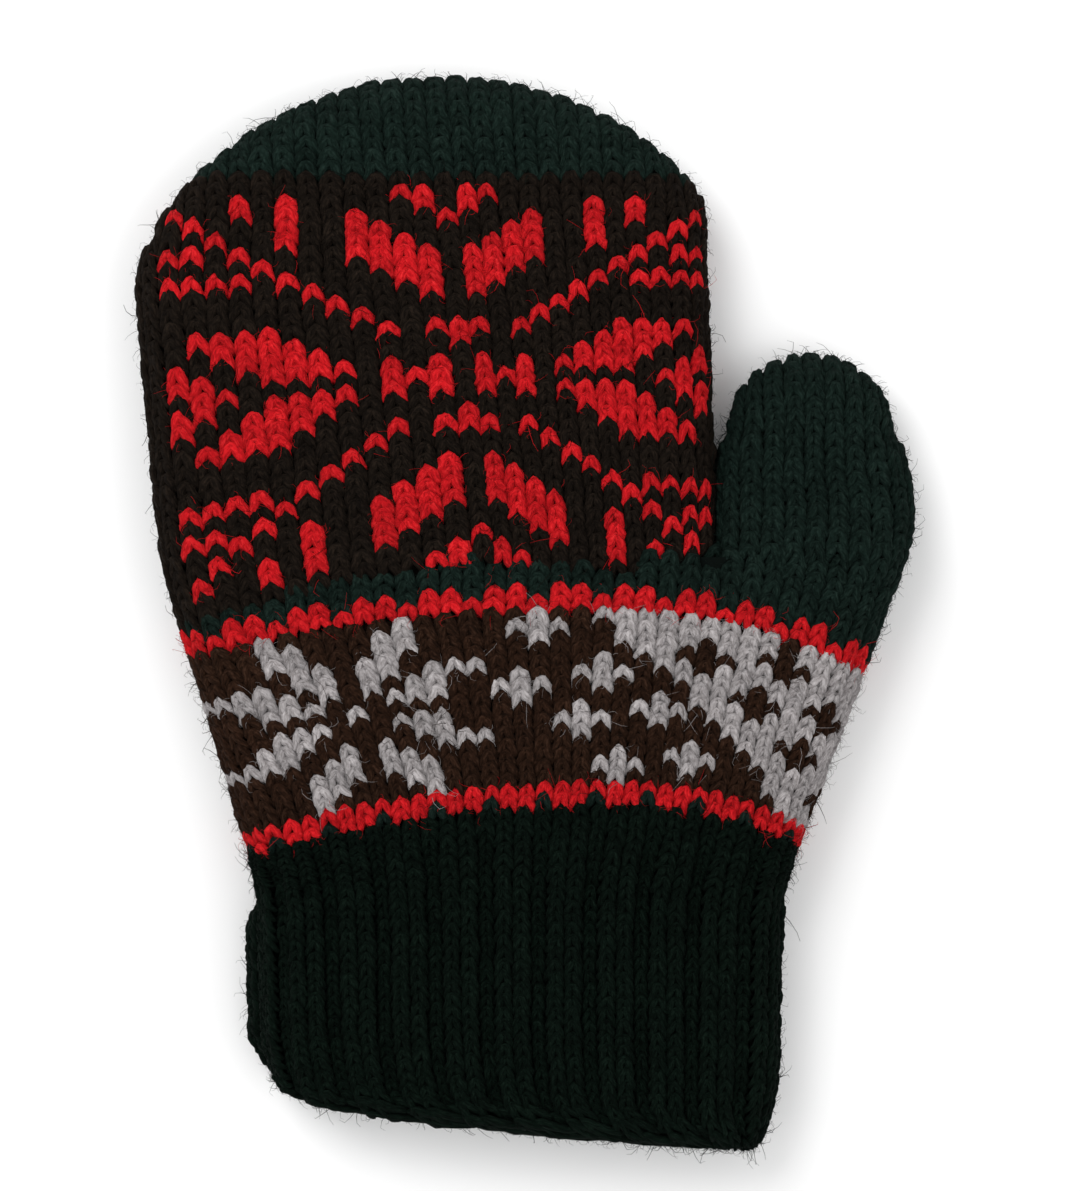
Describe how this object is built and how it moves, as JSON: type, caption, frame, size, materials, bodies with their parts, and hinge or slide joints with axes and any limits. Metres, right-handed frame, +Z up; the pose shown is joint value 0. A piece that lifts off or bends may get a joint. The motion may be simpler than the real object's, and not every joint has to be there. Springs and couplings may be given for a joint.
{
  "type": "knitted mitten",
  "caption": "Child's knitted mitten lying flat: star-patterned hand, snowflake band, separate thumb and ribbed cuff over a plain liner.",
  "frame": {"origin": "under the middle of the mitten's box, on the surface it lies on", "axes": "+Y from the cuff to the fingertips, +X towards the thumb side, +Z up out of the surface"},
  "size_m": [0.1376, 0.1896, 0.018],
  "materials": {
    "black_yarn": "brushed black-green acrylic yarn, stocking stitch and rib",
    "red_yarn": "brushed red acrylic yarn, stranded colour work",
    "brown_yarn": "brushed dark brown acrylic yarn, stranded colour work",
    "grey_yarn": "brushed light grey acrylic yarn, stranded colour work",
    "liner_yarn": "soft plain black knit",
    "elastic": "covered elastic thread"
  },
  "bodies": {
    "palm": {"star_panel_lower": "black_yarn", "black_band": "black_yarn", "red_border": "red_yarn", "snow_band": "brown_yarn", "red_stripe": "red_yarn", "wrist_rib": "black_yarn", "palm_liner": "liner_yarn", "knuckle_liner": "liner_yarn", "crotch_thread": "black_yarn", "cuff_link_thread": "black_yarn"},
    "fingers": {"star_panel_upper": "black_yarn", "fingertip_cap": "black_yarn", "finger_liner": "liner_yarn", "fingertip_thread": "black_yarn"},
    "thumb": {"thumb_tube": "black_yarn", "thumb_tip": "black_yarn", "thumb_liner": "liner_yarn", "thumb_tip_thread": "black_yarn"},
    "cuff": {"rib_cuff": "black_yarn", "cuff_hem": "black_yarn", "cuff_inner_rib": "liner_yarn", "cuff_elastic_1": "elastic", "cuff_elastic_2": "elastic", "cuff_elastic_3": "elastic", "cuff_elastic_4": "elastic", "cuff_elastic_5": "elastic", "cuff_elastic_6": "elastic"}
  },
  "joints": [
    {"name": "finger_bend", "type": "hinge", "parent": "palm", "child": "fingers", "pos_m": [-0.016, 0.02517, 0.018], "axis": [1, 0, 0], "range_deg": [0, 90]},
    {"name": "thumb_bend", "type": "hinge", "parent": "palm", "child": "thumb", "pos_m": [0.051, 0.01017, 0.018], "axis": [1, 0, 0], "range_deg": [0, 80]},
    {"name": "wrist_bend", "type": "hinge", "parent": "palm", "child": "cuff", "pos_m": [0, -0.04732, 0.018], "axis": [-1, 0, 0], "range_deg": [0, 75]}
  ]
}
